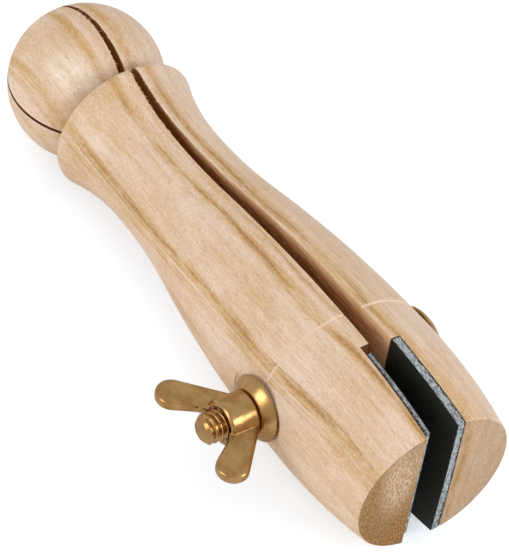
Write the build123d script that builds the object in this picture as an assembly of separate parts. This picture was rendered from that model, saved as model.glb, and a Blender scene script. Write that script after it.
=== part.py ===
from build123d import *
import os
from math import acos, asin, atan2, cos, degrees, hypot, radians, sin, sqrt

# A turned wooden ring clamp, laid along X. The ball's end is at the origin and the jaws are at the far end.
# The saw cut between the two halves lies in the XZ plane. Every length is in millimetres.

# Turned handle: radii where its outline turns, and how far each turn is from its neighbour
total_length = 140.0
ball_radius = 16.4
neck_radius = 10.8
shoulder_from_neck = 2.9
shoulder_radius = 15.6
shoulder_curve = 1.8
waist_from_shoulder = 17.65
waist_radius = 12.62
waist_curve = 105.0
cove_from_waist = 3.3
barrel_radius = 18.2
crest_from_end = 25.0
jaw_end_fall = 2.6
end_rounding = 0.4

# Scribed line round the barrel, at the place of the clamp bolt
ring_line_width = 0.7
ring_line_depth = 0.3

# Saw cut that parts the halves, and the angle that each half is swung open
kerf_width = 1.2
open_angle = 0.98

# Hinge in the ball: a steel link in a thin cross cut, with one pin in each half
pin_before_centre = 0.4
pin_offset = 6.0
pin_radius = 1.0
pin_seat_gap = 0.02
pin_running_gap = 0.05
pin_top = 7.0
pin_recess = 0.6
link_width = 10.0
link_thickness = 0.5
hinge_kerf_width = 0.7
hinge_kerf_overrun = 0.1

# Jaw pads, cut by hand and glued into a rebate in each half
pad_length = 22.3
pad_thickness = 2.0
rebate_slack_left = 1.2
rebate_slack_right = 0.25
pad_inset_left = 1.2
pad_end_recess_left = 1.4
pad_trim_tilt_right = 1.4

# Clamp bolt with a domed head and a square neck
bolt_from_end = 32.0
bolt_radius = 3.175
bolt_length = 52.0
bolt_end_chamfer = 0.7
head_radius = 7.3
head_height = 3.6
head_rim = 0.5
neck_side = 6.35
neck_length = 3.2
neck_gap = 0.03
right_hole_gap = 0.25
left_hole_gap = 1.15

# Flat seats cut into the round of the barrel, under the head and under the washer
seat_depth = 0.5
head_seat_gap = 0.3
washer_seat_gap = 1.1

# Bevelled washer under the wing nut
washer_radius = 7.0
washer_rim = 0.6
washer_thickness = 2.35
washer_top_radius = 4.95
washer_bore_gap = 0.15
washer_lift = 0.34

# Wing nut: its hub, and the wings' outline measured from the hub's axis and base
hub_radius = 4.8
hub_length = 6.7
hub_chamfer = 0.45
hub_seat_gap = 0.03
nut_bore_gap = 0.05
wing_tip_reach = 10.6
wing_tip_height = 10.7
wing_tip_radius = 3.4
wing_root_reach = 4.6
wing_root_height = 0.3
wing_crotch_reach = 5.0
wing_crotch_height = 8.3
wing_thickness = 2.4
wing_rounding = 0.9

# Opening spring round the bolt, held in a pocket in each half
spring_wire = 0.9
spring_radius = 5.2
spring_turns = 5
spring_wire_sides = 6
spring_end_gap = 0.05
pocket_gap = 0.6
pocket_depth = 5.0

# Places along the handle
neck_x = ball_radius + sqrt(ball_radius**2 - neck_radius**2)
shoulder_x = neck_x + shoulder_from_neck
waist_x = shoulder_x + waist_from_shoulder
crest_x = total_length - crest_from_end
bolt_x = total_length - bolt_from_end
pad_start = total_length - pad_length
pin_x = ball_radius - pin_before_centre

# The arc over the barrel's crest starts where it is tangent to the waist's arc
rise_angle = 2 * atan2(barrel_radius - waist_radius, crest_x - waist_x)
barrel_curve = (crest_x - waist_x) / sin(rise_angle) - waist_curve
bolt_line_radius = barrel_radius - barrel_curve + sqrt(barrel_curve**2 - (crest_x - bolt_x) ** 2)

# Places across the handle
half_kerf = kerf_width / 2
open_sine = sin(radians(open_angle))
bolt_shift = (bolt_x - pin_x) * open_sine
seat_radius = bolt_line_radius - seat_depth
reach = 2 * barrel_radius
head_base_y = seat_radius + bolt_shift
washer_base_y = -(seat_radius + bolt_shift + washer_lift)
hub_base_y = washer_base_y - washer_thickness - hub_seat_gap
pocket_floor = half_kerf + bolt_shift + pocket_depth
pocket_radius = spring_radius + spring_wire / 2 + pocket_gap

LEFT = -1
RIGHT = 1


def swing_open(piece, side):
    """Turns a half, or what is fixed in it, outwards about its hinge pin."""
    pin = Pos(pin_x, side * pin_offset, 0)
    return pin * Rot(0, 0, side * open_angle) * pin.inverse() * piece


def bolt_place(y):
    """Frame on the bolt's axis at the height y, with Z towards the threaded end."""
    return Plane(origin=(bolt_x, y, 0), x_dir=(1, 0, 0), z_dir=(0, -1, 0))


def barrel_arcs():
    """Outline from the cove's end over the waist and the barrel's crest to the jaws, in tangent arcs."""
    cove_angle = asin(cove_from_waist / waist_curve)
    fall_angle = 2 * atan2(jaw_end_fall, crest_from_end)
    end_curve = crest_from_end / sin(fall_angle)
    cove_end = (waist_x - cove_from_waist, waist_radius + waist_curve * (1 - cos(cove_angle)))
    heading = (cos(cove_angle), -sin(cove_angle))
    waist = JernArc(cove_end, heading, waist_curve, degrees(cove_angle + rise_angle))
    swell = JernArc(waist @ 1, waist % 1, barrel_curve, -degrees(rise_angle))
    taper = JernArc(swell @ 1, swell % 1, end_curve, -degrees(fall_angle))
    return [waist, swell, taper]


def turned_handle():
    """The whole turned body before it is sawn."""
    ball = ThreePointArc((0, 0), (ball_radius, ball_radius), (neck_x, neck_radius))
    barrel = barrel_arcs()
    cove = TangentArc(barrel[0] @ 0, (shoulder_x, shoulder_radius), tangent=-(barrel[0] % 0))
    slope = degrees(asin((cove % 1).Y))
    shoulder = JernArc(cove @ 1, cove % 1, shoulder_curve, 90 + slope)
    face = Line(shoulder @ 1, (neck_x, neck_radius))
    rim = barrel[-1] @ 1
    end = Line(rim, (total_length, 0))
    axis = Line((total_length, 0), (0, 0))
    section = make_face([ball, face, shoulder, cove, *barrel, end, axis])
    corner = section.vertices().sort_by_distance(rim)[0]
    section = fillet(corner, end_rounding)
    return revolve(section, Axis.X) - ring_line()


def ring_line():
    """The scribed groove, as a ring to be cut away."""
    bottom = bolt_line_radius - ring_line_depth
    top = bolt_line_radius + ring_line_depth
    corners = [(bolt_x, bottom), (bolt_x - ring_line_width, top), (bolt_x + ring_line_width, top)]
    section = make_face(Polyline(*corners, close=True))
    return revolve(section, Axis.X)


def slab(x_from, x_to, y_from, y_to, height):
    """A block between two places along X and two along Y, centred in height."""
    middle = Pos((x_from + x_to) / 2, (y_from + y_to) / 2, 0)
    return middle * Box(x_to - x_from, abs(y_to - y_from), height)


def jaw_half(side, rebate_slack):
    """One sawn half with its rebate, hinge cut and pin hole, before it is swung open."""
    half = turned_handle() & slab(-1, total_length + 1, side * half_kerf, side * reach, 2 * reach)
    rebate_start = pad_start - rebate_slack
    half -= slab(rebate_start, total_length + 1, 0, side * (half_kerf + pad_thickness), 2 * reach)
    half -= slab(-1, neck_x + hinge_kerf_overrun, 0, side * reach, hinge_kerf_width)
    hole_radius = pin_radius + pin_seat_gap
    hole = Cylinder(hole_radius, reach + pin_top, align=(Align.CENTER, Align.CENTER, Align.MAX))
    half -= Pos(pin_x, side * pin_offset, pin_top) * hole
    return half


def bolt_cut(radius, y_from, y_to):
    """A round hole on the bolt's axis between two places along Y."""
    hole = Cylinder(radius, y_from - y_to, align=(Align.CENTER, Align.CENTER, Align.MIN))
    return bolt_place(y_from) * hole


def make_jaw_right():
    """The half that holds the bolt's head."""
    half = swing_open(jaw_half(RIGHT, rebate_slack_right), RIGHT)
    half -= bolt_cut(bolt_radius + right_hole_gap, reach, 0)
    half -= bolt_cut(head_radius + head_seat_gap, reach, head_base_y)
    half -= bolt_cut(pocket_radius, pocket_floor, 0)
    square = neck_side + 2 * neck_gap
    socket = Box(square, square, neck_length, align=(Align.CENTER, Align.CENTER, Align.MIN))
    return half - bolt_place(head_base_y) * socket


def make_jaw_left():
    """The half that the wing nut draws in, with room for the bolt to lean in its hole."""
    half = jaw_half(LEFT, rebate_slack_left)
    half -= bolt_cut(bolt_radius + left_hole_gap, 0, -reach)
    half -= bolt_cut(washer_radius + washer_seat_gap, -seat_radius, -reach)
    half -= bolt_cut(pocket_radius, 0, -(half_kerf + pocket_depth))
    return swing_open(half, LEFT)


def make_pad(side, inset, end_recess, trim_tilt):
    """A flat pad inside the barrel's outline by an inset, cut short of the jaw's end and trimmed askew."""
    arcs = [Pos(0, -inset) * arc for arc in barrel_arcs()]
    foot = (waist_x - cove_from_waist, 0)
    end_foot = (total_length, 0)
    edges = [*arcs, Line(arcs[-1] @ 1, end_foot), Line(end_foot, foot), Line(foot, arcs[0] @ 0)]
    start = Pos(pad_start, 0, 0)
    trim = start * Rot(0, trim_tilt, 0) * start.inverse() * revolve(make_face(edges), Axis.X)
    pad_end = total_length - end_recess
    sheet = slab(pad_start, pad_end, side * half_kerf, side * (half_kerf + pad_thickness), 2 * reach)
    return swing_open(trim & sheet, side)


def make_hinge_pin(side):
    """A plain pin, driven in from below and sunk a little under the ball's surface."""
    surface = sqrt(ball_radius**2 - (pin_x - ball_radius) ** 2 - pin_offset**2)
    bottom = pin_recess - surface
    pin = Cylinder(pin_radius, pin_top - bottom, align=(Align.CENTER, Align.CENTER, Align.MIN))
    return swing_open(Pos(pin_x, side * pin_offset, bottom) * pin, side)


def make_hinge_link():
    """Steel link with a running hole for each pin."""
    outline = Rot(0, 0, 90) * SlotCenterToCenter(2 * pin_offset, link_width)
    for side in (LEFT, RIGHT):
        outline -= Pos(0, side * pin_offset) * Circle(pin_radius + pin_running_gap)
    link = extrude(outline, link_thickness / 2, both=True)
    return Pos(pin_x, 0, 0) * link


def make_bolt():
    """Clamp bolt: domed head, square neck and round shank with a bevelled end."""
    dome_rise = head_height - head_rim
    dome_radius = (head_radius**2 + dome_rise**2) / (2 * dome_rise)
    dome_angle = acos(1 - dome_rise / dome_radius) / 2
    dome_middle = (dome_radius * sin(dome_angle), dome_radius * (1 - cos(dome_angle)) - head_height)
    dome = ThreePointArc((0, -head_height), dome_middle, (head_radius, -head_rim))
    rest = Polyline(
        (head_radius, -head_rim),
        (head_radius, 0),
        (bolt_radius, 0),
        (bolt_radius, bolt_length - bolt_end_chamfer),
        (bolt_radius - bolt_end_chamfer, bolt_length),
        (0, bolt_length),
        (0, -head_height),
    )
    section = Plane.XZ * make_face([dome, *rest.edges()])
    neck = Box(neck_side, neck_side, neck_length, align=(Align.CENTER, Align.CENTER, Align.MIN))
    return bolt_place(head_base_y) * (revolve(section, Axis.Z) + neck)


def make_seat_washer():
    """Bevelled washer with a short straight rim at its base."""
    bore = bolt_radius + washer_bore_gap
    section = Plane.XZ * make_face(
        Polyline(
            (bore, 0),
            (washer_radius, 0),
            (washer_radius, washer_rim),
            (washer_top_radius, washer_thickness),
            (bore, washer_thickness),
            close=True,
        )
    )
    return bolt_place(washer_base_y) * revolve(section, Axis.Z)


def tangent_touch(x, y, side):
    """Where a line from a point touches the wing's round tip, on one side of it."""
    away = hypot(x - wing_tip_reach, y - wing_tip_height)
    turn = atan2(y - wing_tip_height, x - wing_tip_reach) + side * acos(wing_tip_radius / away)
    return (wing_tip_reach + wing_tip_radius * cos(turn), wing_tip_height + wing_tip_radius * sin(turn))


def wing_outline():
    """One wing seen from its flat side, with its root inside the hub."""
    low_root = (wing_root_reach, wing_root_height)
    crotch = (wing_crotch_reach, wing_crotch_height)
    low_touch = tangent_touch(*low_root, 1)
    high_touch = tangent_touch(*crotch, -1)
    outer = radians(45)
    tip = (
        wing_tip_reach + wing_tip_radius * cos(outer),
        wing_tip_height + wing_tip_radius * sin(outer),
    )
    inner_high = (hub_radius / 2 + bolt_radius / 2, hub_length - hub_chamfer)
    inner_low = (hub_radius / 2 + bolt_radius / 2, wing_root_height)
    edges = [
        Line(inner_low, low_root),
        Line(low_root, low_touch),
        ThreePointArc(low_touch, tip, high_touch),
        Line(high_touch, crotch),
        Line(crotch, inner_high),
        Line(inner_high, inner_low),
    ]
    return make_face(edges)


def make_wing_nut():
    """Wing nut with a round hub and two paddle wings that lean outwards."""
    hub = Cylinder(hub_radius, hub_length, align=(Align.CENTER, Align.CENTER, Align.MIN))
    hub = chamfer(hub.edges().filter_by(GeomType.CIRCLE), hub_chamfer)
    wing = extrude(Plane.XZ * wing_outline(), wing_thickness / 2, both=True)
    faces = wing.faces().filter_by(Axis.Y)
    long_edges = [edge for face in faces for edge in face.edges() if edge.center().X > hub_radius]
    wing = fillet(long_edges, wing_rounding)
    nut = hub + wing + Rot(0, 0, 180) * wing
    nut -= Cylinder(bolt_radius + nut_bore_gap, 4 * hub_length)
    return bolt_place(hub_base_y) * nut


def make_opening_spring():
    """Compression spring between the two pocket floors, with its round wire as a six-sided one."""
    tilt = (spring_radius + spring_wire / 2) * open_sine
    start = pocket_floor - spring_end_gap - spring_wire / 2
    height = 2 * start - tilt
    path = Helix(height / spring_turns, height, spring_radius)
    wire = Plane(origin=path @ 0, z_dir=path % 0) * RegularPolygon(spring_wire / 2, spring_wire_sides)
    return bolt_place(start) * sweep(wire, path)


pieces = {
    "jaw_left": make_jaw_left(),
    "jaw_right": make_jaw_right(),
    "pad_left": make_pad(LEFT, pad_inset_left, pad_end_recess_left, 0),
    "pad_right": make_pad(RIGHT, 0, 0, pad_trim_tilt_right),
    "hinge_link": make_hinge_link(),
    "hinge_pin_left": make_hinge_pin(LEFT),
    "hinge_pin_right": make_hinge_pin(RIGHT),
    "bolt": make_bolt(),
    "seat_washer": make_seat_washer(),
    "wing_nut": make_wing_nut(),
    "opening_spring": make_opening_spring(),
}

os.makedirs("parts", exist_ok=True)
for name, piece in pieces.items():
    export_step(piece, f"parts/{name}.step")
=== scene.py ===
from math import acos, asin, atan2, cos, degrees, hypot, pi, radians, sin, sqrt

import bmesh
import bpy
from mathutils import Matrix, Vector, noise
from mathutils.bvhtree import BVHTree


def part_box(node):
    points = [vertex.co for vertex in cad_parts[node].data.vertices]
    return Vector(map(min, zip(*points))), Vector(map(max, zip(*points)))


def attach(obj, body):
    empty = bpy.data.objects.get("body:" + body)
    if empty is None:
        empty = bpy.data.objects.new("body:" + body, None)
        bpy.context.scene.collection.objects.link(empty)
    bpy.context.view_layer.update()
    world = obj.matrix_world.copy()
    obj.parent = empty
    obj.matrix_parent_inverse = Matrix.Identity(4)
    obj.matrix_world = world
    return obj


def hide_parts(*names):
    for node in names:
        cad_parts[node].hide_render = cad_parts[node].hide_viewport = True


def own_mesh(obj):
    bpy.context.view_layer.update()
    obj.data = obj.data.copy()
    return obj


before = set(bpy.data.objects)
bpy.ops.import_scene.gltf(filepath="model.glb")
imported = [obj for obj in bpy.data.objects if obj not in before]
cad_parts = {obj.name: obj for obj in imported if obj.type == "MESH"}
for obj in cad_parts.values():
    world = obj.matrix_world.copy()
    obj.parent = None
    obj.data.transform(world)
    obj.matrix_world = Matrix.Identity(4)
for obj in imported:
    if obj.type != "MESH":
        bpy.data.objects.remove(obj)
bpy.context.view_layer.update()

# The dressed ring clamp. Lengths are in millimetres until a mesh is made, in the frame of the solids:
# +X along the handle to the jaws, +Y towards the bolt's head, +Z up in the plane of the saw cut.
MM = 0.001
LEFT = -1
RIGHT = 1
HALVES = {LEFT: "jaw_left", RIGHT: "jaw_right"}

# Camera, fitted to the handle's outline in a picture of 509 by 555 pixels
PICTURE_HEIGHT = 555
CAMERA_AZIMUTH = 42.38
CAMERA_ELEVATION = 45.61
CAMERA_ROLL = 11.07
CAMERA_DISTANCE = 900.0
CAMERA_AIM = (70.0, 0.0, 0.0)
CAMERA_SLIDE = (4.73, -5.78)
CAMERA_CLIP = (10.0, 20000.0)
FOCAL_PIXELS = 4489.69
SENSOR = 36.0

# Light, and soft boxes as (name, direction as camera right, up and back, distance, width, watts)
WORLD_LIGHT = 0.80
LAMPS = [
    ("key", (-0.80, 0.0, 0.75), 900, 420, 2.2),
    ("side", (0.87, -0.02, 0.49), 500, 180, 0.7),
]

# Floor. It looks a little different to the camera than to the light that it throws back.
FLOOR_REACH = 3000.0
FLOOR_GAP = 0.02
FLOOR_COLOUR = (0.9, 0.9, 0.9, 1)
FLOOR_SEEN_COLOUR = (0.76, 0.85, 0.94, 1)
FLOOR_SEEN_GLOW = 0.43

# Handle. The neck is where the ball ends, the ball and the barrel are what rests on the floor, and the
# rebates for the pads start at a wall.
BALL_RADIUS = 16.4
NECK_X = 28.74
BARREL_RADIUS = 18.2
BARREL_CONTACT_X = 113.0
REBATE_WALL_X = 116.5

# Pins that the halves swing on, and the angle in degrees that each half is open at rest
PIN_X = 16.0
PIN_OFFSET = 6.0
OPEN_ANGLE = 0.98

# Saw cuts. With the nut fully in, the wide one narrows by so much per millimetre beyond the pins. The
# painted shade on its walls depends on what stands within the reach.
HALF_KERF = 0.6
SHUT_TAPER = 0.0088
HINGE_KERF_WIDTH = 0.7
KERF_SHADE_REACH = 6.0

# How far the sharp edges of the bolt's head and of the washer are eased
EASED_EDGE = 0.1

# Bolt. The crest's half and the flank are shares of the thread's pitch.
BOLT_X = 108.0
BOLT_RADIUS = 3.175
BOLT_SEGMENTS = 64
SHANK_RINGS = 8
THREAD_LENGTH = 27.0
THREAD_PITCH = 1.27
THREAD_DEPTH = 0.72
THREAD_RINGS_PER_TURN = 22
HALF_CREST = 0.0625
FLANK = 0.3125
END_BEVEL = 0.95
HEAD_HEIGHT = 3.6
HEAD_RADIUS = 7.3
HEAD_RIM = 0.5
HEAD_EDGE = 0.15
DOME_STEPS = 24

# Washer
WASHER_RADIUS = 7.0
WASHER_TOP_RADIUS = 4.95
WASHER_RIM = 0.6
WASHER_CLEARANCE = 0.15
WASHER_SEGMENTS = 128

# Wing nut, with places on a wing as (reach, height). The two within the hub keep the wing joined to it.
HUB_RADIUS = 4.8
HUB_LENGTH = 6.7
HUB_CHAMFER = 0.45
HUB_SEGMENTS = 96
NUT_BORE = 3.225
NUT_MOUTH_DEPTH = 0.6
NUT_MOUTH_RADIUS = 4.0
WING_THICKNESS = 2.4
WING_ROUNDING = 0.75
WING_FOOT = (2.0, 0.3)
WING_ROOT = (4.6, 0.3)
WING_TIP = (10.6, 10.7)
WING_TIP_RADIUS = 3.4
WING_TIP_STEPS = 28
WING_CROTCH = (5.0, 8.3)
WING_WITHIN = (2.0, 6.0)
CAST_VOXEL = 0.13
CAST_SMOOTHING = 0.5
CAST_SMOOTHING_ROUNDS = 7

# Spring
SPRING_WIRE_RADIUS = 0.45
SPRING_TURNS = 5
SPRING_RINGS_PER_TURN = 48
SPRING_SEGMENTS = 12

# Jaw pads, and the loose fibres on their cut edges, which stop just short of the handle's end
PAD_THICKNESS = 2.0
PAD_ROUNDING = 0.15
PAD_RAGGED = 0.26
PAD_LAYERS = 12
PAD_SPACING = 0.3
FIBRE_COUNT = 700
FIBRE_RADIUS = 0.045
FIBRE_ROOT_DEPTH = 0.12
FIBRE_LIMIT_X = 139.95

# Splinters along the saw cut: how many on each half, between which places along the handle, and how far
# across the shut cut they may reach, as a share of its width
SPLINTER_COUNT = {LEFT: 110, RIGHT: 40}
SPLINTER_PLACES = {
    LEFT: ((10, 18), (12, 26), (31, 38), (31, 52)),
    RIGHT: ((10, 22), (31, 60), (60, 115)),
}
SPLINTER_SHARE = {LEFT: 0.52, RIGHT: 0.36}
SPLINTER_RADIUS = 0.09
SPLINTER_ROOT_DEPTH = 0.06


def seeded(*key):
    """A repeatable number between about -1 and 1 for a place or a count."""
    return noise.noise(Vector(key) * 1.37 + Vector((3.1, 7.7, 1.9))) * 1.6


def swing_open(side):
    """Matrix, in millimetres, that turns a half outwards about its hinge pin."""
    pin = Vector((PIN_X, side * PIN_OFFSET, 0))
    turn = Matrix.Rotation(radians(side * OPEN_ANGLE), 4, "Z")
    return Matrix.Translation(pin) @ turn @ Matrix.Translation(-pin)


def bolt_frame(y):
    """Matrix, in millimetres, that lays a lathed shape on the bolt's axis, its top to the threaded end."""
    axes = Matrix(((1, 0, 0), (0, 0, -1), (0, 1, 0))).to_4x4()
    return Matrix.Translation((BOLT_X, y, 0)) @ axes


def make_piece(name, points, faces, materials, body, slot, smooth=None):
    """A mesh object from points in millimetres, riding on a body, and smooth up to an angle in degrees."""
    mesh = bpy.data.meshes.new(name)
    mesh.from_pydata([Vector(p) * MM for p in points], [], faces)
    mesh.validate()
    piece = bpy.data.objects.new(name, mesh)
    bpy.context.scene.collection.objects.link(piece)
    for material in materials:
        mesh.materials.append(material)
    if smooth is not None:
        mesh.shade_smooth()
        mesh.set_sharp_from_angle(angle=radians(smooth))
    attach(piece, body)
    return piece


# Node materials


class Shader:
    """Adds and joins shader nodes in one material, with places in millimetres in the object's own space."""

    def __init__(self, name):
        self.material = bpy.data.materials.new(name)
        self.material.use_nodes = True
        self.tree = self.material.node_tree
        self.surface = self.tree.nodes["Principled BSDF"]
        coordinates = self.tree.nodes.new("ShaderNodeTexCoord")
        self.normal = coordinates.outputs["Normal"]
        self.place = self.vector_math("SCALE", coordinates.outputs["Object"], scale=1 / MM)

    def node(self, kind, **settings):
        made = self.tree.nodes.new(kind)
        for key, value in settings.items():
            setattr(made, key, value)
        return made

    def feed(self, socket, value):
        if isinstance(value, bpy.types.NodeSocket):
            self.tree.links.new(value, socket)
        else:
            socket.default_value = value

    def math(self, operation, *values, clamp=False):
        made = self.node("ShaderNodeMath", operation=operation, use_clamp=clamp)
        for socket, value in zip(made.inputs, values):
            self.feed(socket, value)
        return made.outputs[0]

    def plus(self, first, second):
        return self.math("ADD", first, second)

    def minus(self, first, second):
        return self.math("SUBTRACT", first, second)

    def times(self, first, second):
        return self.math("MULTIPLY", first, second)

    def absolute(self, value):
        return self.math("ABSOLUTE", value)

    def vector_math(self, operation, *values, scale=None):
        made = self.node("ShaderNodeVectorMath", operation=operation)
        for socket, value in zip(made.inputs, values):
            self.feed(socket, value)
        if scale is not None:
            made.inputs["Scale"].default_value = scale
        return made.outputs[0]

    def stretch(self, x, y, z):
        """The place in the object, with each axis scaled for a pattern."""
        return self.vector_math("MULTIPLY", self.place, (x, y, z))

    def split(self, vector):
        made = self.node("ShaderNodeSeparateXYZ")
        self.feed(made.inputs[0], vector)
        return made.outputs

    def join(self, x, y, z):
        made = self.node("ShaderNodeCombineXYZ")
        for socket, value in zip(made.inputs, (x, y, z)):
            self.feed(socket, value)
        return made.outputs[0]

    def noise(self, vector, detail=2.0, roughness=0.5, scale=1.0):
        made = self.node("ShaderNodeTexNoise")
        self.feed(made.inputs["Vector"], vector)
        made.inputs["Scale"].default_value = scale
        made.inputs["Detail"].default_value = detail
        made.inputs["Roughness"].default_value = roughness
        return made.outputs["Fac"]

    def cells(self, vector, scale=1.0, feature="F1"):
        made = self.node("ShaderNodeTexVoronoi", feature=feature)
        self.feed(made.inputs["Vector"], vector)
        made.inputs["Scale"].default_value = scale
        return made.outputs

    def span(self, value, low, high, to_low=0.0, to_high=1.0, smooth=True):
        """Maps a value from one range to another, and holds it at the ends."""
        made = self.node("ShaderNodeMapRange")
        made.interpolation_type = "SMOOTHSTEP" if smooth else "LINEAR"
        for socket, number in zip(made.inputs, (value, low, high, to_low, to_high)):
            self.feed(socket, number)
        return made.outputs[0]

    def mix(self, share, first, second):
        made = self.node("ShaderNodeMix", data_type="RGBA")
        self.feed(made.inputs["Factor"], share)
        self.feed(made.inputs["A"], first)
        self.feed(made.inputs["B"], second)
        return made.outputs["Result"]

    def paint(self, base, layers):
        """Mixes layers of (share, colour) over a base, one after another."""
        for share, tone in layers:
            base = self.mix(share, base, tone)
        return base

    def bump(self, height, distance, below=None):
        """A bump of so many millimetres, over an earlier one if it is given."""
        made = self.node("ShaderNodeBump")
        made.inputs["Distance"].default_value = distance * MM
        self.feed(made.inputs["Height"], height)
        if below is not None:
            self.feed(made.inputs["Normal"], below)
        return made.outputs[0]

    def set(self, **values):
        for key, value in values.items():
            self.feed(self.surface.inputs[key.replace("_", " ")], value)


def colour(red, green, blue):
    """A colour as it looks on a screen, from 0 to 255, made linear."""
    parts = [part / 255 for part in (red, green, blue)]
    linear = [p / 12.92 if p <= 0.04045 else ((p + 0.055) / 1.055) ** 2.4 for p in parts]
    return (*linear, 1)


# Tones of the turned wood, from the broad ones to the fine ones
PALE_GROUND = colour(225, 200, 178)
WARM_GROUND = colour(214, 181, 146)
PALE_CLOUD = colour(229, 196, 174)
TAN_CLOUD = colour(212, 177, 128)
PALE_PATCH = colour(240, 222, 203)
TAN_PATCH = colour(201, 160, 104)
# Painted light: the right half is greyer, for the cooler light and sheen that fall on that side
PAINTED_SHEEN_GREYER_SIDE = colour(206, 188, 174)
HAIR = colour(188, 148, 108)
FIBRE = colour(200, 164, 128)
STREAK = colour(198, 154, 88)
STREAK_CORE = colour(142, 98, 48)
DARK_LINE = colour(158, 112, 60)
PALE_MOTTLE = colour(246, 228, 210)
DARK_MOTTLE = colour(190, 148, 100)
PALE_SPECK = colour(250, 236, 220)
DARK_SPECK = colour(172, 132, 92)
PORE = colour(168, 122, 86)
RIFT = colour(150, 108, 76)
FLECK = colour(112, 80, 56)
SCRIBED_LINE = colour(238, 214, 190)

# Tones of the end grain, and of the painted light and shade on the walls of the saw cuts
DARK_END = colour(90, 54, 14)
LIGHT_END = colour(178, 132, 64)
CHALKY_END = colour(216, 192, 160)
END_RING = colour(152, 116, 80)
# The walls are painted by how closed in they are: painted shade inside, painted light deep in the narrow
# cut
WALL_RIM = colour(228, 188, 142)
PAINTED_SHADE_WALL_INSIDE = colour(150, 80, 14)
NARROW_WALL_PAINTED_LIGHT_DEEP = colour(196, 126, 52)
NARROW_WALL_PAINTED_SHADE_OPEN = colour(112, 66, 20)
# Painted shade for the walls of the small hinge cut, and for the wall where the rebates start, which also
# has dark glue
SMALL_WALL_PAINTED_SHADE = colour(120, 80, 44)

# The grain fans out from a line below the handle, at (across, up). Each streak has an angle there in
# degrees, a half-width and a depth. The narrow ones at the end are the dark cores of the broad ones.
FAN_CENTRE = (2.9, -30.7)
STREAKS = [
    (-40.0, 3.4, 0.37),
    (-33.5, 2.2, 0.32),
    (-27.0, 1.2, 0.60),
    (-24.0, 2.2, 1.00),
    (-16.8, 1.9, 0.13),
    (-9.4, 2.3, 1.00),
    (-5.4, 1.8, 0.47),
    (-0.4, 2.8, 1.00),
    (5.5, 1.6, 0.19),
    (9.5, 1.4, 0.16),
    (15.0, 2.4, 0.42),
    (21.0, 1.6, 0.37),
    (30.0, 3.2, 0.47),
    (-26.2, 0.20, 1.02),
    (-25.2, 0.22, 1.08),
    (-23.8, 0.36, 1.35),
    (-9.6, 0.34, 1.32),
    (-8.4, 0.20, 1.08),
    (-0.9, 0.36, 1.30),
    (0.8, 0.20, 1.00),
]

# Places where the wood is paler, more tan, or chalky at its end, as (along, across, up), their reach that
# way, and how strongly
PALE_PATCHES = [
    ((22.5, -9.8, 11.4), (7.5, 6.0, 5.5), 0.90),
    ((36.5, -12.4, 6.5), (7.0, 2.6, 3.2), 0.65),
    ((13.0, -12.5, 3.0), (11.0, 6.0, 8.0), 0.55),
    ((50.0, 9.0, 9.0), (20.0, 5.0, 3.0), 0.35),
    ((96.0, -15.5, 3.0), (16.0, 4.0, 5.0), 0.30),
    ((62.0, -4.0, 13.0), (14.0, 1.6, 3.0), 0.25),
]
TAN_PATCHES = [
    ((14.0, -7.0, 14.0), (9.0, 3.6, 4.0), 0.55),
    ((8.5, -11.5, 6.5), (5.0, 2.6, 4.0), 0.50),
    ((33.0, -6.0, 14.2), (5.0, 2.6, 3.0), 0.55),
    ((35.5, -14.5, -1.5), (7.0, 3.0, 5.0), 0.55),
    ((42.0, -9.5, 8.5), (5.0, 2.4, 3.0), 0.35),
    ((18.0, 5.0, 15.0), (12.0, 2.6, 3.0), 0.40),
    ((118.0, -8.0, 15.0), (12.0, 3.0, 4.0), 0.35),
    ((134.0, 5.0, 15.0), (7.0, 2.0, 3.0), 0.50),
    ((112.0, 4.0, 17.0), (14.0, 1.8, 3.0), 0.35),
    ((130.0, -13.0, 6.0), (12.0, 3.0, 5.0), 0.35),
]
CHALKY_PATCHES = [
    ((140.0, -7.0, 5.5), (20.0, 5.0, 12.0), 1.00),
    ((140.0, -3.5, 9.0), (20.0, 3.5, 9.0), 0.60),
]


def closed_place(s):
    """A place in a half before it is swung open: along the handle, across it, up, and away from the cut."""
    x, y, z = s.split(s.place)
    lean = sin(radians(OPEN_ANGLE))
    away = s.absolute(y)
    along = s.math("MULTIPLY_ADD", away, lean, s.minus(x, PIN_OFFSET * lean))
    away = s.minus(away, s.times(s.minus(x, PIN_X), lean))
    return along, s.times(away, s.math("SIGN", y)), z, away


def grain_angle(s, x, y, z):
    """Angle in degrees about the line that the grain fans out from, turning at the jaws and wavering."""
    drift = s.noise(s.stretch(0.016, 0.04, 0.04))
    waver = s.noise(s.stretch(0.045, 0.10, 0.10), 3.0)
    angle = s.math("ARCTAN2", s.minus(y, FAN_CENTRE[0]), s.minus(z, FAN_CENTRE[1]))
    angle = s.times(angle, 180 / pi)
    angle = s.minus(angle, s.span(x, 100.0, 138.0, 0.0, 2.3))
    angle = s.plus(angle, s.span(drift, 0.3, 0.7, -0.5, 0.5, smooth=False))
    return s.plus(angle, s.span(waver, 0.3, 0.7, -0.45, 0.45, smooth=False))


def streak_level(s, angle):
    """How deep in a streak a point is: up to 1, and more than that in a dark core."""
    level = 0.0
    for middle, half_width, depth in STREAKS:
        gap = s.absolute(s.minus(angle, middle))
        level = s.math("MAXIMUM", level, s.span(gap, 0.0, half_width, depth, 0.0))
    return level


def patch_level(s, place, patches):
    """How far a point is inside any of the patches, from 0 to 1."""
    level = 0.0
    for centre, reach, strength in patches:
        offset = s.vector_math("DIVIDE", s.vector_math("SUBTRACT", place, centre), reach)
        gap = s.node("ShaderNodeVectorMath", operation="LENGTH")
        s.feed(gap.inputs[0], offset)
        level = s.math("MAXIMUM", level, s.span(gap.outputs["Value"], 0.25, 1.15, strength, 0.0))
    return level


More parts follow.
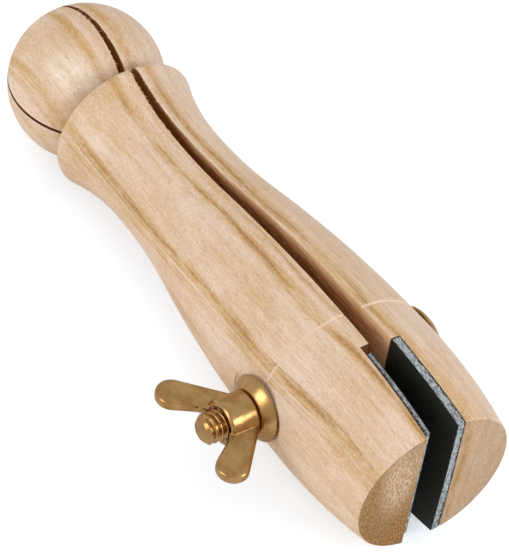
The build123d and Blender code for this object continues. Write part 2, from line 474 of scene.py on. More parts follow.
def marks(s, stretch, fade, chosen):
    """Small marks in some of the cells of a stretched pattern, which fade out from their middles."""
    cells = s.cells(s.stretch(*stretch))
    share = s.span(s.split(cells["Color"])[0], *chosen)
    return s.times(s.span(cells["Distance"], *fade, 1.0, 0.0), share)


def ground_layers(s, y, place):
    """Clouds, worn patches, and a painted sheen that makes the right half greyer."""
    cloud = s.noise(s.stretch(0.06, 0.50, 0.50), 3.0, 0.6)
    worn = s.span(s.noise(s.stretch(0.09, 0.6, 0.6), 4.0, 0.65), 0.36, 0.60, 0.35, 1.15)
    return [
        (s.span(cloud, 0.48, 0.66, 0.0, 0.55), PALE_CLOUD),
        (s.span(cloud, 0.34, 0.48, 0.55, 0.0), TAN_CLOUD),
        (s.times(patch_level(s, place, PALE_PATCHES), worn), PALE_PATCH),
        (s.times(patch_level(s, place, TAN_PATCHES), worn), TAN_PATCH),
        # Painted sheen: the right half turns greyer by where it lies, as the light falls on it
        (s.span(y, 2.0, 13.0, 0.0, 0.55), PAINTED_SHEEN_GREYER_SIDE),
    ]


def grain_layers(s, x, angle, fibre):
    """Hairs and fibres, then streaks with dark cores, and dark lines in them and faintly between them."""
    patchy = s.noise(s.stretch(0.06, 0.22, 0.22), 4.0, 0.6)
    streaks = s.times(streak_level(s, angle), s.span(patchy, 0.34, 0.60, 0.45, 1.20))
    core = s.times(s.span(streaks, 0.90, 1.25), s.span(x, 30.0, 42.0, 0.10, 1.0))

    hair_space = s.join(s.times(x, 0.06), s.times(angle, 3.4), 3.7)
    hairs = s.span(s.noise(hair_space, 3.0, 0.6), 0.54, 0.70)

    line_space = s.join(s.times(x, 0.035), s.times(angle, 1.15), 0.0)
    lines = s.span(s.noise(line_space, 3.0, 0.55), 0.50, 0.66)
    in_streak = s.span(streaks, 0.12, 0.65)
    lines = s.times(lines, s.span(in_streak, 0.0, 1.0, 0.14, 0.72, smooth=False))
    lines = s.times(lines, s.span(x, 26.0, 38.0, 0.30, 1.0))
    return [
        (s.times(hairs, 0.32), HAIR),
        (s.span(fibre, 0.35, 0.75, 0.0, 0.26), FIBRE),
        (s.math("MULTIPLY", streaks, 0.92, clamp=True), STREAK),
        (s.times(core, 0.62), STREAK_CORE),
        (lines, DARK_LINE),
    ]


def fine_layers(s, speck, pore, rift):
    """Mottling, specks, pores, rifts and a few dark flecks."""
    mottle = s.noise(s.stretch(0.11, 1.7, 1.7), 3.0, 0.7)
    flecks = s.cells(s.stretch(0.11, 0.13, 0.13))
    fleck = s.span(flecks["Distance"], 0.022, 0.045, 1.0, 0.0)
    fleck = s.times(fleck, s.math("GREATER_THAN", s.split(flecks["Color"])[1], 0.60))
    return [
        (s.span(mottle, 0.50, 0.68, 0.0, 0.20), PALE_MOTTLE),
        (s.span(mottle, 0.32, 0.48, 0.24, 0.0), DARK_MOTTLE),
        (s.span(speck, 0.44, 0.66, 0.0, 0.18), PALE_SPECK),
        (s.span(speck, 0.34, 0.50, 0.18, 0.0), DARK_SPECK),
        (s.times(pore, 0.30), PORE),
        (s.times(rift, 0.55), RIFT),
        (s.times(fleck, 0.75), FLECK),
    ]


def scribed_layers(s, x):
    """The scribed line at the bolt, cut through to clean wood."""
    return [(s.span(s.absolute(s.minus(x, BOLT_X)), 0.20, 0.42, 0.72, 0.0), SCRIBED_LINE)]


def end_layers(s, y, z, place):
    """End grain, which drinks more light, most of all in the left half, nearer the heart of the tree."""
    end_grain = s.span(s.absolute(s.split(s.normal)[0]), 0.80, 0.97)
    heart = s.times(s.span(y, -3.0, 3.0, 1.0, 0.50), s.span(z, -13.0, 10.0, 1.0, 0.85))
    speckle = s.noise(s.stretch(0.5, 2.6, 1.3), 4.0, 0.75)
    chalk = s.span(s.noise(s.stretch(0.5, 2.2, 1.0), 4.0, 0.8), 0.43, 0.57, 0.10, 0.95)
    chalk = s.times(chalk, patch_level(s, place, CHALKY_PATCHES))
    rings = s.noise(s.join(0.0, s.times(y, 0.55), s.times(z, 0.05)), 3.0, 0.6)
    tone = s.mix(s.span(speckle, 0.36, 0.64), DARK_END, LIGHT_END)
    return [
        (s.times(end_grain, heart), s.mix(chalk, tone, CHALKY_END)),
        (s.times(end_grain, s.span(rings, 0.42, 0.62, 0.0, 0.18)), END_RING),
    ]


def wall_layers(s, x, z, away, fibre):
    """Walls of the saw cuts: painted shade, brown inside where a place is closed in, and paler at the rim
    of the wide cut, which is partly torn, paler fibre and partly painted light where the cut is open.
    """
    occlusion = s.node("ShaderNodeAmbientOcclusion", samples=8)
    occlusion.inputs["Distance"].default_value = KERF_SHADE_REACH * MM
    openness = occlusion.outputs["AO"]
    wall = s.span(away, HALF_KERF + 0.05, HALF_KERF + 0.30, 1.0, 0.0)
    wall = s.times(wall, s.span(s.absolute(s.split(s.normal)[1]), 0.6, 0.9))

    # The cut is narrow at the ball and wide at the jaws, so the rim starts at another openness along it
    rim = s.plus(openness, s.span(fibre, 0.3, 0.7, -0.12, 0.12))
    rim = s.minus(rim, s.span(x, 32.0, 58.0, 0.25, 0.0))
    rim = s.minus(rim, s.span(x, 30.0, 115.0, 0.0, 0.20, smooth=False))
    # Beside the ball the colour is painted light deep in the narrow cut and painted shade at its open rim
    narrow_painted_tone = s.mix(s.span(openness, 0.05, 0.40), NARROW_WALL_PAINTED_LIGHT_DEEP, NARROW_WALL_PAINTED_SHADE_OPEN)
    tone = s.mix(s.span(x, 32.0, 62.0), narrow_painted_tone, PAINTED_SHADE_WALL_INSIDE)
    # The pale rim is torn fibre and also painted light where the cut is open
    tone = s.mix(s.span(rim, 0.27, 0.47), tone, WALL_RIM)

    # Painted shade in the small hinge cut and on the rebates' starting wall, with dark glue there too
    hinge_cut = s.span(s.absolute(z), HINGE_KERF_WIDTH / 2 + 0.01, HINGE_KERF_WIDTH / 2 + 0.05, 1.0, 0.0)
    hinge_cut = s.times(hinge_cut, s.math("LESS_THAN", x, NECK_X))
    rebate_wall = s.span(s.absolute(s.minus(x, REBATE_WALL_X)), 0.9, 1.1, 1.0, 0.0)
    rebate_wall = s.times(rebate_wall, s.math("GREATER_THAN", s.split(s.normal)[0], 0.7))
    return [
        (wall, tone),
        (s.math("MAXIMUM", hinge_cut, rebate_wall), SMALL_WALL_PAINTED_SHADE),
    ]


def wood_material():
    """Pale, fine-pored hardwood with tan streaks along the grain, sanded and unfinished."""
    s = Shader("wood")
    x, y, z, away = closed_place(s)
    place = s.join(x, y, z)
    angle = grain_angle(s, x, y, z)
    blotch = s.noise(s.stretch(0.05, 0.11, 0.11), 3.0)
    fibre = s.noise(s.stretch(0.16, 3.2, 3.2), 4.0, 0.6)
    speck = s.noise(s.stretch(1.2, 3.6, 3.6), 2.0, 0.7)
    pore = marks(s, (0.30, 2.4, 2.4), (0.12, 0.30), (0.50, 0.80))
    rift = marks(s, (0.12, 1.1, 1.1), (0.035, 0.10), (0.60, 0.80))

    base = s.mix(s.span(blotch, 0.38, 0.62), PALE_GROUND, WARM_GROUND)
    base = s.paint(base, ground_layers(s, y, place))
    base = s.paint(base, grain_layers(s, x, angle, fibre))
    base = s.paint(base, fine_layers(s, speck, pore, rift))
    base = s.paint(base, scribed_layers(s, x))
    base = s.paint(base, end_layers(s, y, z, place))
    base = s.paint(base, wall_layers(s, x, z, away, fibre))

    bump = s.bump(fibre, 0.03)
    bump = s.bump(s.plus(pore, rift), -0.04, bump)
    bump = s.bump(speck, 0.03, bump)
    s.set(Base_Color=base, Roughness=s.span(fibre, 0.3, 0.7, 0.50, 0.62), Normal=bump)
    s.set(Specular_IOR_Level=0.35)
    return s.material


def brass_material():
    """Satin brass that has dulled a little, with faint cloudy stains and fine scratches."""
    s = Shader("brass")
    cloud = s.noise(s.place, 4.0, 0.6, scale=0.35)
    stain = s.noise(s.place, 3.0, 0.6, scale=0.9)
    dimple = s.noise(s.place, 3.0, scale=1.6)
    scratch = s.noise(s.stretch(6.0, 1.2, 6.0), 3.0)
    base = s.mix(s.span(cloud, 0.35, 0.65), colour(184, 146, 96), colour(164, 126, 76))
    base = s.mix(s.span(stain, 0.56, 0.72, 0.0, 0.45), base, colour(158, 104, 62))
    bump = s.bump(dimple, 0.03, s.bump(scratch, 0.003))
    s.set(Base_Color=base, Metallic=1.0, Normal=bump)
    s.set(Roughness=s.span(cloud, 0.3, 0.7, 0.20, 0.31))
    return s.material


def steel_material():
    """Plain bright steel for the link, the pins and the spring's wire."""
    s = Shader("steel")
    drawn = s.noise(s.place, 3.0, scale=2.5)
    s.set(Base_Color=s.mix(drawn, colour(150, 150, 152), colour(190, 190, 190)), Metallic=1.0)
    s.set(Roughness=s.span(drawn, 0.3, 0.7, 0.28, 0.42), Normal=s.bump(drawn, 0.01))
    return s.material


def leather_face_material():
    """The black grain side of the jaw leather, creased and a little dusty."""
    s = Shader("leather_face")
    crease = s.span(s.cells(s.place, 1.7, "DISTANCE_TO_EDGE")["Distance"], 0.0, 0.16)
    dust = s.noise(s.place, 4.0, 0.7, scale=0.8)
    base = s.mix(s.span(dust, 0.55, 0.8, 0.0, 0.35), colour(33, 33, 28), colour(56, 56, 50))
    s.set(Base_Color=base, Roughness=s.span(dust, 0.3, 0.7, 0.5, 0.68), Normal=s.bump(crease, 0.05))
    s.set(Specular_IOR_Level=0.3)
    return s.material


def leather_edge_material():
    """The cut side of the jaw leather: blue-grey fibres between the black face and a dark, ragged back,
    which is dark glue and painted shadow.
    """
    s = Shader("leather_edge")
    felt = s.noise(s.stretch(1.0, 2.8, 1.0), 5.0, 0.75)
    tuft = s.noise(s.place, 3.0, 0.6, scale=2.2)
    place = closed_place(s)
    across, away = place[1], place[3]

    # The dark back is broader in the left pad, where it is painted shadow of the wood's edge
    left_painted_shadow = s.times(s.math("LESS_THAN", across, 0.0), 0.85)
    ragged = s.span(tuft, 0.3, 0.7, -0.35, 0.35, smooth=False)
    depth = s.plus(s.plus(away, ragged), left_painted_shadow)
    base = s.mix(s.span(felt, 0.38, 0.62), colour(104, 112, 118), colour(196, 202, 204))
    base = s.paint(base, [
        (s.span(tuft, 0.56, 0.75, 0.0, 0.7), colour(78, 88, 96)),
        (s.span(away, HALF_KERF + 0.10, HALF_KERF + 0.30, 1.0, 0.0), colour(40, 42, 40)),
        (s.span(depth, HALF_KERF + 1.55, HALF_KERF + 1.80, 0.0, 0.92), colour(44, 36, 34)),
    ])
    s.set(Base_Color=base, Roughness=0.95, Normal=s.bump(felt, 0.12, s.bump(tuft, 0.1)))
    s.set(Specular_IOR_Level=0.1)
    return s.material


WOOD = wood_material()
BRASS = brass_material()
STEEL = steel_material()
LEATHER_FACE = leather_face_material()
LEATHER_EDGE = leather_edge_material()


# Meshes in millimetres, as points and faces


def band(low, high):
    """Faces between two rings of points, one of which may be a single point."""
    count = max(len(low), len(high))
    faces = []
    for i in range(count):
        after = (i + 1) % count
        corners = (low[i % len(low)], low[after % len(low)], high[after % len(high)], high[i % len(high)])
        faces.append(list(dict.fromkeys(corners)))
    return faces


def tube(count, rings):
    """Faces between so many rings that follow each other, with as many points in each."""
    faces = []
    for start in range(0, count * (rings - 1), count):
        faces += band(range(start, start + count), range(start + count, start + 2 * count))
    return faces


def lathe(outline, segments):
    """An outline of (radius, height) turned about Z. A radius of 0 makes a pole."""
    points = []
    rings = []
    for radius, height in outline:
        if radius == 0:
            rings.append([len(points)])
            points.append((0, 0, height))
            continue
        rings.append(range(len(points), len(points) + segments))
        for step in range(segments):
            turn = 2 * pi * step / segments
            points.append((radius * cos(turn), radius * sin(turn), height))
    faces = []
    for low, high in zip(rings, rings[1:]):
        faces += band(low, high)
    return points, faces


def arc_points(centre, radius, start, end, steps):
    """Points on an arc between two angles in degrees."""
    turns = [radians(start + (end - start) * i / steps) for i in range(steps + 1)]
    return [(centre[0] + radius * cos(t), centre[1] + radius * sin(t)) for t in turns]


def outward_normals(outline):
    """Unit normals of a closed outline that runs anticlockwise."""
    normals = []
    for i in range(len(outline)):
        along = (Vector(outline[(i + 1) % len(outline)]) - Vector(outline[i - 1])).normalized()
        normals.append(Vector((along.y, -along.x)))
    return normals


def rounded_plate(outline, thickness, rounding, steps=4):
    """A flat plate in the XZ plane whose long edges are rounded."""
    layers = []
    for i in range(steps + 1):
        turn = pi / 2 * i / steps
        layers.append((rounding * (1 - sin(turn)), rounding * (1 - cos(turn)) - thickness / 2))
    layers += [(inset, -y) for inset, y in reversed(layers)]
    normals = outward_normals(outline)
    points = []
    for inset, y in layers:
        for (x, z), normal in zip(outline, normals):
            points.append((x - normal.x * inset, y, z - normal.y * inset))
    count = len(outline)
    faces = [list(range(count))[::-1], list(range(len(points) - count, len(points)))]
    return points, faces + tube(count, len(layers))


def place_all(points, matrix):
    return [matrix @ Vector(p) for p in points]


def join_meshes(*meshes):
    points = []
    faces = []
    for more_points, more_faces in meshes:
        start = len(points)
        points += more_points
        faces += [[i + start for i in face] for face in more_faces]
    return points, faces


def temporary(name, points, faces):
    """A mesh object in millimetres with its faces turned outwards, used up while a piece is made."""
    mesh = bpy.data.meshes.new(name)
    mesh.from_pydata([Vector(p) for p in points], [], faces)
    work = bmesh.new()
    work.from_mesh(mesh)
    bmesh.ops.recalc_face_normals(work, faces=work.faces)
    work.to_mesh(mesh)
    work.free()
    made = bpy.data.objects.new(name, mesh)
    bpy.context.scene.collection.objects.link(made)
    return made


def used_up(made):
    """The evaluated mesh as points and faces, after which the temporary object is removed."""
    bpy.context.view_layer.update()
    evaluated = made.evaluated_get(bpy.context.evaluated_depsgraph_get())
    mesh = evaluated.to_mesh()
    points = [tuple(v.co) for v in mesh.vertices]
    faces = [list(p.vertices) for p in mesh.polygons]
    evaluated.to_mesh_clear()
    bpy.data.objects.remove(made)
    return points, faces


def cut(target, tool):
    """Cuts one temporary object out of another and uses both up."""
    modifier = target.modifiers.new("cut", "BOOLEAN")
    modifier.operation = "DIFFERENCE"
    modifier.solver = "EXACT"
    modifier.object = tool
    points, faces = used_up(target)
    bpy.data.objects.remove(tool)
    return points, faces


# Brass and steel pieces


def thread_radius(height, turn, start):
    """Radius of the bolt at a height and an angle, with the thread cut from a height onwards."""
    phase = (height / THREAD_PITCH - turn / (2 * pi)) % 1.0
    flank = min(max((abs(phase - 0.5) - HALF_CREST) / FLANK, 0.0), 1.0)
    runout = min(max((height - start) / THREAD_PITCH, 0.0), 1.0)
    return BOLT_RADIUS - THREAD_DEPTH * flank * runout


def head_outline():
    """The bolt's domed head, from the middle of the dome to the shank. Height 0 is its flat side."""
    rise = HEAD_HEIGHT - HEAD_RIM
    radius = (HEAD_RADIUS**2 + rise**2) / (2 * rise)
    half_angle = degrees(asin(HEAD_RADIUS / radius))
    dome = arc_points((0, radius - HEAD_HEIGHT), radius, -90, -90 + half_angle, DOME_STEPS)
    edge = arc_points((HEAD_RADIUS - HEAD_EDGE, -HEAD_RIM + HEAD_EDGE), HEAD_EDGE, -50, 0, 4)
    flat = [(HEAD_RADIUS, -EASED_EDGE), (HEAD_RADIUS - EASED_EDGE, 0), (BOLT_RADIUS, 0)]
    return [(0, -HEAD_HEIGHT), *dome[1:-1], *edge, *flat]


def bolt_mesh(length):
    """Domed head, plain shank and a threaded end with a bevel. The length is counted from the head."""
    points, faces = lathe(head_outline(), BOLT_SEGMENTS)
    thread_start = length - THREAD_LENGTH
    heights = [thread_start * i / SHANK_RINGS for i in range(1, SHANK_RINGS)]
    steps = int(THREAD_LENGTH / THREAD_PITCH * THREAD_RINGS_PER_TURN)
    heights += [thread_start + THREAD_LENGTH * i / steps for i in range(steps + 1)]
    below = range(len(points) - BOLT_SEGMENTS, len(points))
    for height in heights:
        ring = range(len(points), len(points) + BOLT_SEGMENTS)
        limit = BOLT_RADIUS - max(height - (length - END_BEVEL), 0)
        for step in range(BOLT_SEGMENTS):
            turn = 2 * pi * step / BOLT_SEGMENTS
            radius = min(thread_radius(height, turn, thread_start), limit)
            points.append((radius * cos(turn), radius * sin(turn), height))
        faces += band(below, ring)
        below = ring
    faces += band(below, [len(points)])
    points.append((0, 0, length))
    return points, faces


def make_bolt():
    """Clamp bolt over the solid one, with its thread cut."""
    low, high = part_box("bolt")
    flat_y = high.y / MM - HEAD_HEIGHT
    points, faces = bolt_mesh(flat_y - low.y / MM)
    points = place_all(points, bolt_frame(flat_y))
    bolt = make_piece("bolt_threaded", points, faces, [BRASS], "jaw_right", "brass", smooth=35)
    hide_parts("bolt")


def make_washer():
    """Bevelled washer with eased edges."""
    low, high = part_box("seat_washer")
    thickness = (high.y - low.y) / MM
    bore = BOLT_RADIUS + WASHER_CLEARANCE
    rim = [
        (WASHER_RADIUS - EASED_EDGE, 0),
        (WASHER_RADIUS, EASED_EDGE),
        (WASHER_RADIUS, WASHER_RIM - 0.12),
        (WASHER_RADIUS - EASED_EDGE, WASHER_RIM),
    ]
    bevel = [
        (WASHER_RADIUS - 0.75, WASHER_RIM + 0.78),
        (WASHER_TOP_RADIUS + 0.35, thickness - 0.30),
        (WASHER_TOP_RADIUS + 0.05, thickness - 0.06),
        (WASHER_TOP_RADIUS - 0.2, thickness),
    ]
    hole = [
        (bore + EASED_EDGE, thickness),
        (bore, thickness - EASED_EDGE),
        (bore, EASED_EDGE),
    ]
    outline = [hole[-1], (bore + EASED_EDGE, 0), *rim, *bevel, *hole]
    points, faces = lathe(outline, WASHER_SEGMENTS)
    points = place_all(points, bolt_frame(high.y / MM))
    washer = make_piece("seat_washer_eased", points, faces, [BRASS], "seat_washer", "brass", smooth=40)
    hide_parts("seat_washer")


def tip_angle(point, side):
    """Angle in degrees at which a line from a point touches the round tip of a wing, on one side of it."""
    gap = hypot(point[0] - WING_TIP[0], point[1] - WING_TIP[1])
    towards = degrees(atan2(point[1] - WING_TIP[1], point[0] - WING_TIP[0]))
    return towards + side * degrees(acos(WING_TIP_RADIUS / gap))


def wing_outline():
    """Outline of one wing, from the hub's foot round the tip to the crotch, as (reach, height)."""
    start = tip_angle(WING_ROOT, 1)
    end = tip_angle(WING_CROTCH, -1)
    start += 360 if start < -180 else 0
    end += 360 if end < start else 0
    tip = arc_points(WING_TIP, WING_TIP_RADIUS, start, end, WING_TIP_STEPS)
    return [WING_FOOT, WING_ROOT, *tip, WING_CROTCH, WING_WITHIN]


def cast_blank():
    """Hub and both wings, melted together and smoothed, before the hole is bored."""
    hub = lathe([
        (0, 0),
        (HUB_RADIUS - HUB_CHAMFER, 0),
        (HUB_RADIUS, HUB_CHAMFER),
        (HUB_RADIUS, HUB_LENGTH - HUB_CHAMFER),
        (HUB_RADIUS - HUB_CHAMFER, HUB_LENGTH),
        (0, HUB_LENGTH),
    ], HUB_SEGMENTS)
    wing = rounded_plate(wing_outline(), WING_THICKNESS, WING_ROUNDING)
    other_wing = ([(-x, -y, z) for x, y, z in wing[0]], wing[1])
    blank = temporary("blank", *join_meshes(hub, wing, other_wing))
    melt = blank.modifiers.new("melt", "REMESH")
    melt.mode = "VOXEL"
    melt.voxel_size = CAST_VOXEL
    ease = blank.modifiers.new("ease", "SMOOTH")
    ease.factor = CAST_SMOOTHING
    ease.iterations = CAST_SMOOTHING_ROUNDS
    return temporary("blank", *used_up(blank))


def make_wing_nut():
    """Cast wing nut, bored and countersunk."""
    below = -1
    above = HUB_LENGTH + 0.2
    blank = cast_blank()
    bore = temporary("bore", *lathe([
        (0, below),
        (NUT_BORE, below),
        (NUT_BORE, HUB_LENGTH - NUT_MOUTH_DEPTH),
        (NUT_MOUTH_RADIUS, above),
        (0, above),
    ], HUB_SEGMENTS))
    points, faces = cut(blank, bore)
    seat_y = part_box("wing_nut")[1].y / MM
    points = place_all(points, bolt_frame(seat_y))
    nut = make_piece("wing_nut_cast", points, faces, [BRASS], "wing_nut", "brass", smooth=40)
    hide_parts("wing_nut")


def make_spring():
    """Opening spring of round wire."""
    low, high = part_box("opening_spring")
    wire = SPRING_WIRE_RADIUS
    radius = (high.x - low.x) / MM / 2 - wire
    top = high.y / MM - wire
    bottom = low.y / MM + wire
    steps = SPRING_TURNS * SPRING_RINGS_PER_TURN
    points = []
    for i in range(steps + 1):
        share = i / steps
        turn = 2 * pi * SPRING_TURNS * share
        y = top + (bottom - top) * share
        centre = Vector((BOLT_X + radius * cos(turn), y, radius * sin(turn)))
        outward = Vector((cos(turn), 0, sin(turn)))
        for j in range(SPRING_SEGMENTS):
            angle = 2 * pi * j / SPRING_SEGMENTS
            points.append(centre + outward * wire * cos(angle) + Vector((0, wire * sin(angle), 0)))
    faces = tube(SPRING_SEGMENTS, steps + 1)
    faces.append(list(range(SPRING_SEGMENTS)))
    faces.append(list(range(len(points) - SPRING_SEGMENTS, len(points)))[::-1])
    spring = make_piece("spring_wire", points, faces, [STEEL], "jaw_right", "steel", smooth=60)
    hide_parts("opening_spring")
    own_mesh(spring)


# Jaw pads, and loose fibres of leather and wood


def hull(points):
    """Corners of the convex outline round flat points, in order."""
    ordered = sorted(set(points))

    def side_of(run):
        chain = []
        for point in run:
            while len(chain) > 1:
                first = Vector(chain[-1]) - Vector(chain[-2])
                second = Vector(point) - Vector(chain[-1])
                if first.cross(second) > 0:
                    break
                chain.pop()
            chain.append(point)
        return chain[:-1]

    return side_of(ordered) + side_of(ordered[::-1])


def evenly(outline, spacing):
    """Points about so far apart along a closed outline, with its corners kept."""
    spaced = []
    for start, end in zip(outline, [*outline[1:], outline[0]]):
        start = Vector(start)
        end = Vector(end)
        count = max(1, round((end - start).length / spacing))
        spaced += [tuple(start.lerp(end, i / count)) for i in range(count)]
    return spaced


def sliver(root, tip, radius):
    """A thin three-sided spike."""
    along = (tip - root).normalized()
    first = along.orthogonal().normalized()
    second = along.cross(first)
    turns = (0, 2 * pi / 3, 4 * pi / 3)
    base = [root + (first * cos(turn) + second * sin(turn)) * radius for turn in turns]
    return [*base, tip], [(0, 2, 1), (0, 1, 3), (1, 2, 3), (2, 0, 3)]


def pad_outline(side, node):
    """A pad's outline as (along, up) with its half closed, and its face's distance from the middle."""
    closed = swing_open(side).inverted()
    flat = [closed @ (v.co / MM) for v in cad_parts[node].data.vertices]
    outline = evenly(hull([(round(p.x, 3), round(p.z, 3)) for p in flat]), PAD_SPACING)
    return outline, min(abs(p.y) for p in flat)


def pad_inset(x, share, z):
    """How far a pad's edge lies inwards at a share of its thickness: rounded at the face, then ragged."""
    shoulder = max(0.0, 1 - share * PAD_THICKNESS / PAD_ROUNDING)
    rounding = PAD_ROUNDING * (1 - sqrt(max(0.0, 1 - shoulder**2)))
    coarse = noise.noise(Vector((x * 1.1, share * 4.0, z * 1.1)))
    fine = noise.noise(Vector((x * 3.3, share * 9.0 + 5, z * 3.3)))
    ragged = 0.5 + 0.5 * coarse + 0.35 * fine
    return rounding + PAD_RAGGED * max(0.0, ragged) * min(1.0, share * 5)


def make_pad(side, node):
    """A leather jaw pad over its solid: smooth black grain face, and cut edges of ragged fibre."""
    swing = swing_open(side)
    outline, face_y = pad_outline(side, node)
    normals = outward_normals(outline)
    points = []
    for layer in range(PAD_LAYERS + 1):
        share = layer / PAD_LAYERS
        y = side * (face_y + PAD_THICKNESS * share)
        for (x, z), normal in zip(outline, normals):
            inset = pad_inset(x, share, z)
            points.append(swing @ Vector((x - normal.x * inset, y, z - normal.y * inset)))
    count = len(outline)
    faces = [list(range(count))]
    faces += [[b, a, above_a, above_b] for a, b, above_b, above_a in tube(count, PAD_LAYERS + 1)]
    faces.append(list(range(len(points) - count, len(points)))[::-1])
    if side == LEFT:
        faces = [face[::-1] for face in faces]
    leather = [LEATHER_FACE, LEATHER_EDGE]
    pad = make_piece(f"{node}_leather", points, faces, leather, HALVES[side], "leather", smooth=40)
    for face in pad.data.polygons:
        face.material_index = 0 if face.index == 0 else 1
    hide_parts(node)


def make_pad_fibres(side, node):
    """Loose fibres that stand off a pad's cut edges."""
    swing = swing_open(side)
    outline, face_y = pad_outline(side, node)
    normals = outward_normals(outline)
    count = len(outline)
    slivers = []
    for i in range(FIBRE_COUNT):
        at = int((seeded(i * 1.7, 3.0, side) * 0.5 + 0.5) * count * 7) % count
        share = 0.12 + (0.8 * abs(seeded(i * 0.9, side * 5.0, 1.0))) % 0.8
        (x, z), normal = outline[at], normals[at]
        y = side * (face_y + PAD_THICKNESS * share)
        root = Vector((x - normal.x * FIBRE_ROOT_DEPTH, y, z - normal.y * FIBRE_ROOT_DEPTH))
        lean = Vector((normal.x, 0, normal.y)) * (0.5 + 0.4 * abs(seeded(i, 2.0, 8.0)))
        lean += Vector((seeded(i, 7.0, 2.0), seeded(i, 9.0, 4.0), seeded(i, 5.0, 6.0))) * 0.7
        tip = root + lean.normalized() * (0.25 + 0.3 * abs(seeded(i, 1.0, 3.0)))
        tip.x = min(tip.x, FIBRE_LIMIT_X)
        slivers.append(sliver(swing @ root, swing @ tip, FIBRE_RADIUS))
    make_piece(f"{node}_fibres", *join_meshes(*slivers), [LEATHER_EDGE], HALVES[side], "leather")


def make_splinters(side):
    """Splinters that the saw left along the top of the cut in one half."""
    body = HALVES[side]
    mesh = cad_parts[body].data
    tree = BVHTree.FromPolygons([v.co / MM for v in mesh.vertices], [p.vertices[:] for p in mesh.polygons])
    swing = swing_open(side)
    places = SPLINTER_PLACES[side]
    slivers = []
    for i in range(SPLINTER_COUNT[side]):
        low, high = places[i % len(places)]
        x = low + (high - low) * ((seeded(i * 2.3, side * 3.0, 6.0) * 0.5 + 0.5) * 3 % 1)
        above = swing @ Vector((x, side * (HALF_KERF + 0.03), 30))
        hit = tree.ray_cast(above, Vector((0, 0, -1)))[0]
        if hit is None:
            continue
        reach = 0.30 + 0.65 * abs(seeded(i, 4.0, 2.0))
        across = -side * (0.35 + abs(seeded(i, 1.0, 9.0)))
        lean = Vector((seeded(i, 8.0, 3.0) * 1.4, across, 0.10 * seeded(i, 6.0, 6.0)))
        lean.normalize()
        shut_width = 2 * HALF_KERF - SHUT_TAPER * (x - PIN_X)
        reach = min(reach, SPLINTER_SHARE[side] * shut_width / abs(lean.y))
        root = hit + Vector((0, 0, -SPLINTER_ROOT_DEPTH))
        slivers.append(sliver(root, root + lean * reach, SPLINTER_RADIUS))
    make_piece(f"{body}_splinters", *join_meshes(*slivers), [WOOD], body, "wood")


def dress(names, material):
    """Gives the solids of these nodes a material."""
    for name in names:
        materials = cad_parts[name].data.materials
        materials.clear()
        materials.append(material)


make_bolt()
make_washer()
make_wing_nut()
make_spring()
for side, node in ((LEFT, "pad_left"), (RIGHT, "pad_right")):
    make_pad(side, node)
    make_pad_fibres(side, node)
make_splinters(LEFT)
make_splinters(RIGHT)
dress(("jaw_left", "jaw_right"), WOOD)
dress(("hinge_link", "hinge_pin_left", "hinge_pin_right"), STEEL)


# Floor, light and camera


def floor_height(x):
    """Height of a plane just under the lowest points of the ball and of the barrel."""
    slope = (BALL_RADIUS - BARREL_RADIUS) / (BARREL_CONTACT_X - BALL_RADIUS)
    return -BALL_RADIUS + slope * (x - BALL_RADIUS) - FLOOR_GAP


def floor_material():
    """Matte white for the light that it returns, and a paler, faintly glowing white for the camera."""
    material = bpy.data.materials.new("floor_white")
    material.use_nodes = True
    tree = material.node_tree
    tree.nodes.clear()
    matte = tree.nodes.new("ShaderNodeBsdfDiffuse")
    matte.inputs["Color"].default_value = FLOOR_COLOUR
    seen = tree.nodes.new("ShaderNodeBsdfDiffuse")
    seen.inputs["Color"].default_value = FLOOR_SEEN_COLOUR
    glow = tree.nodes.new("ShaderNodeEmission")
    glow.inputs["Strength"].default_value = FLOOR_SEEN_GLOW
    both = tree.nodes.new("ShaderNodeAddShader")
    path = tree.nodes.new("ShaderNodeLightPath")
    choice = tree.nodes.new("ShaderNodeMixShader")
    output = tree.nodes.new("ShaderNodeOutputMaterial")
    link = tree.links.new
    link(seen.outputs[0], both.inputs[0])
    link(glow.outputs[0], both.inputs[1])
    link(path.outputs["Is Camera Ray"], choice.inputs[0])
    link(matte.outputs[0], choice.inputs[1])
    link(both.outputs[0], choice.inputs[2])
    link(choice.outputs[0], output.inputs["Surface"])
    return material


def make_floor():
    """A pale floor that the ball and the barrel rest on."""
    corners = ((-1, -1), (1, -1), (1, 1), (-1, 1))
    points = [(x * FLOOR_REACH, y * FLOOR_REACH, floor_height(x * FLOOR_REACH)) for x, y in corners]
    mesh = bpy.data.meshes.new("floor")
    mesh.from_pydata([Vector(p) * MM for p in points], [], [(0, 1, 2, 3)])
    mesh.materials.append(floor_material())
    floor = bpy.data.objects.new("floor", mesh)
    bpy.context.scene.collection.objects.link(floor)


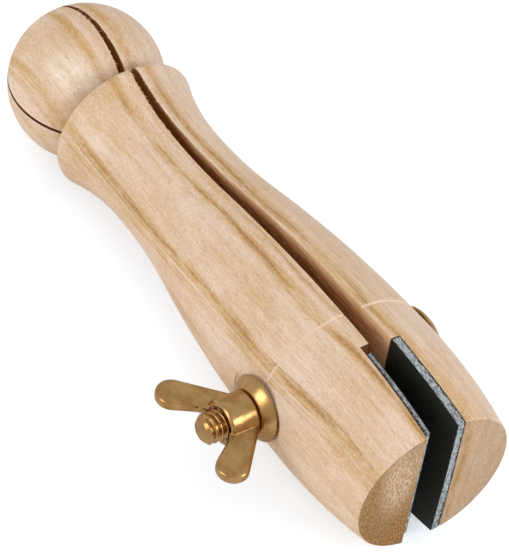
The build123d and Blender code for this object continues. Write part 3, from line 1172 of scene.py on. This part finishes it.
def make_world():
    """White where the camera sees it, also through clear things, and an even, soft light for the rest."""
    world = bpy.data.worlds.new("studio")
    bpy.context.scene.world = world
    world.use_nodes = True
    tree = world.node_tree
    background = tree.nodes["Background"]
    background.inputs["Color"].default_value = (1, 1, 1, 1)
    path = tree.nodes.new("ShaderNodeLightPath")
    seen = tree.nodes.new("ShaderNodeMath")
    seen.operation = "MAXIMUM"
    level = tree.nodes.new("ShaderNodeMapRange")
    level.inputs["To Min"].default_value = WORLD_LIGHT
    level.inputs["To Max"].default_value = 1.0
    link = tree.links.new
    link(path.outputs["Is Camera Ray"], seen.inputs[0])
    link(path.outputs["Is Transmission Ray"], seen.inputs[1])
    link(seen.outputs[0], level.inputs["Value"])
    link(level.outputs[0], background.inputs["Strength"])


def camera_axes():
    """The camera's right, up and backward directions, with its roll."""
    azimuth = radians(CAMERA_AZIMUTH)
    elevation = radians(CAMERA_ELEVATION)
    back = Vector((cos(elevation) * cos(azimuth), -cos(elevation) * sin(azimuth), sin(elevation)))
    right = (-back).cross(Vector((0, 0, 1))).normalized()
    up = right.cross(-back)
    roll = radians(CAMERA_ROLL)
    return cos(roll) * right + sin(roll) * up, cos(roll) * up - sin(roll) * right, back


def make_camera():
    right, up, back = camera_axes()
    place = Vector(CAMERA_AIM) + back * CAMERA_DISTANCE + right * CAMERA_SLIDE[0] + up * CAMERA_SLIDE[1]
    data = bpy.data.cameras.new("camera")
    data.sensor_fit = "VERTICAL"
    data.sensor_height = SENSOR
    data.lens = FOCAL_PIXELS / PICTURE_HEIGHT * SENSOR
    data.clip_start = CAMERA_CLIP[0] * MM
    data.clip_end = CAMERA_CLIP[1] * MM
    camera = bpy.data.objects.new("camera", data)
    axes = Matrix((right, up, back)).transposed().to_4x4()
    camera.matrix_world = Matrix.Translation(place * MM) @ axes
    bpy.context.scene.collection.objects.link(camera)
    bpy.context.scene.camera = camera


def make_lamp(name, direction, distance, width, power):
    """A square soft box that faces the clamp, with its direction given as camera right, up and back."""
    right, up, back = camera_axes()
    towards = (right * direction[0] + up * direction[1] + back * direction[2]).normalized()
    data = bpy.data.lights.new(name, "AREA")
    data.shape = "SQUARE"
    data.size = width * MM
    data.energy = power
    lamp = bpy.data.objects.new(name, data)
    lamp.location = (Vector(CAMERA_AIM) + towards * distance) * MM
    lamp.rotation_euler = towards.to_track_quat("Z", "Y").to_euler()
    bpy.context.scene.collection.objects.link(lamp)


make_floor()
make_world()
make_camera()
for lamp in LAMPS:
    make_lamp(*lamp)

bpy.context.scene.view_settings.view_transform = "Standard"
